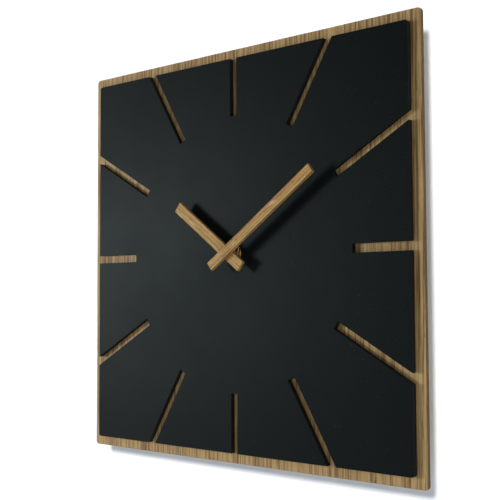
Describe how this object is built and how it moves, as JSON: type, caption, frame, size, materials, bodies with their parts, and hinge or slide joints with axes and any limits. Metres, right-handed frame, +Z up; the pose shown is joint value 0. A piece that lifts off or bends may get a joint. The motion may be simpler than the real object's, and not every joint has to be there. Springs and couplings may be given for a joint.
{
  "type": "wall clock",
  "caption": "Square analogue wall clock: slotted black dial plate over an oak board, plain oak bar hands and a battery quartz movement that hangs from a sheet metal hanger.",
  "frame": {"origin": "on the hands' axis, on the back of the movement's cover, which is the plane of the wall", "axes": "+X to the right across the dial as it is read, +Y into the wall, +Z up; the dial faces -Y"},
  "size_m": [0.3, 0.0366, 0.3],
  "materials": {
    "dial_black": "matt black, faintly blue-green",
    "oak_board": "oiled oak, upright grain",
    "oak_hands": "oiled oak, grain along the hand",
    "brass_parts": "turned brass",
    "rubber_washer": "matt black rubber",
    "zinc_steel": "zinc plated sheet",
    "case_plastic": "black moulded, satin",
    "white_plastic": "natural white moulded",
    "bright_steel": "bright nickel plated",
    "magnet_grey": "sintered dark grey",
    "soft_iron": "stamped soft iron",
    "copper_wire": "enamelled copper wire",
    "board_green": "green solder mask",
    "black_epoxy": "black epoxy",
    "cell_sleeve": "plain printed sleeve, satin"
  },
  "bodies": {
    "clock": {"back_board": "oak_board", "dial_plate": "dial_black", "threaded_bush": "brass_parts", "hex_nut": "brass_parts", "nut_washer": "brass_parts", "rubber_washer": "rubber_washer", "hanger_plate": "zinc_steel", "movement_case": "case_plastic", "back_cover": "case_plastic", "train_plate": "white_plastic", "train_bridge": "white_plastic", "stator": "soft_iron", "coil_core": "soft_iron", "coil_bobbin": "white_plastic", "coil_winding": "copper_wire", "circuit_board": "board_green", "ic_cover": "black_epoxy", "quartz_crystal": "bright_steel", "contact_positive": "bright_steel", "contact_negative": "bright_steel"},
    "minute_set": {"minute_hand": "oak_hands", "minute_hand_bush": "brass_parts", "minute_arbor": "bright_steel", "clutch_washer": "bright_steel"},
    "hour_set": {"hour_hand": "oak_hands", "hour_hand_bush": "brass_parts", "hour_wheel": "white_plastic"},
    "minute_wheel_body": {"minute_wheel": "white_plastic"},
    "setting_knob_body": {"setting_knob": "white_plastic"},
    "rotor": {"rotor_pinion": "white_plastic", "rotor_magnet": "magnet_grey"},
    "intermediate_wheel_body": {"intermediate_wheel": "white_plastic"},
    "second_wheel_body": {"second_wheel": "white_plastic"},
    "third_wheel_body": {"third_wheel": "white_plastic"},
    "center_wheel_body": {"center_wheel": "white_plastic"},
    "cell": {"battery_can": "cell_sleeve", "battery_cap": "bright_steel"}
  },
  "joints": [
    {"name": "minute_hand_turn", "type": "hinge", "parent": "clock", "child": "minute_set", "pos_m": [0, -0.0354, 0], "axis": [0, 1, 0], "continuous": true},
    {"name": "hour_hand_turn", "type": "hinge", "parent": "clock", "child": "hour_set", "pos_m": [0, -0.0323, 0], "axis": [0, 1, 0], "continuous": true},
    {"name": "minute_wheel_turn", "type": "hinge", "parent": "clock", "child": "minute_wheel_body", "pos_m": [-0.00779, -0.0122, 0.0045], "axis": [0, 1, 0], "continuous": true},
    {"name": "setting_knob_turn", "type": "hinge", "parent": "clock", "child": "setting_knob_body", "pos_m": [-0.01656, -0.0015, 0.00956], "axis": [0, 1, 0], "continuous": true},
    {"name": "rotor_turn", "type": "hinge", "parent": "clock", "child": "rotor", "pos_m": [0.01373, -0.008, -0.00172], "axis": [0, 1, 0], "continuous": true},
    {"name": "intermediate_wheel_turn", "type": "hinge", "parent": "clock", "child": "intermediate_wheel_body", "pos_m": [0.00767, -0.0043, -0.00279], "axis": [0, 1, 0], "continuous": true},
    {"name": "second_wheel_turn", "type": "hinge", "parent": "clock", "child": "second_wheel_body", "pos_m": [0, -0.0059, 0], "axis": [0, 1, 0], "continuous": true},
    {"name": "third_wheel_turn", "type": "hinge", "parent": "clock", "child": "third_wheel_body", "pos_m": [0.00396, -0.0068, 0.00686], "axis": [0, 1, 0], "continuous": true},
    {"name": "center_wheel_turn", "type": "hinge", "parent": "clock", "child": "center_wheel_body", "pos_m": [0, -0.009, 0], "axis": [0, 1, 0], "continuous": true},
    {"name": "cell_slide", "type": "slide", "parent": "clock", "child": "cell", "axis": [0, 1, 0], "range_m": [0, 0.02]}
  ],
  "couplings": [
    {"joint": "hour_hand_turn", "follows": "minute_hand_turn", "ratio": 0.083333},
    {"joint": "minute_wheel_turn", "follows": "minute_hand_turn", "ratio": -0.33333},
    {"joint": "setting_knob_turn", "follows": "minute_hand_turn", "ratio": 0.66667},
    {"joint": "intermediate_wheel_turn", "follows": "rotor_turn", "ratio": -0.16667},
    {"joint": "second_wheel_turn", "follows": "rotor_turn", "ratio": 0.033333},
    {"joint": "third_wheel_turn", "follows": "rotor_turn", "ratio": -0.0044444},
    {"joint": "center_wheel_turn", "follows": "rotor_turn", "ratio": 0.00055556}
  ]
}
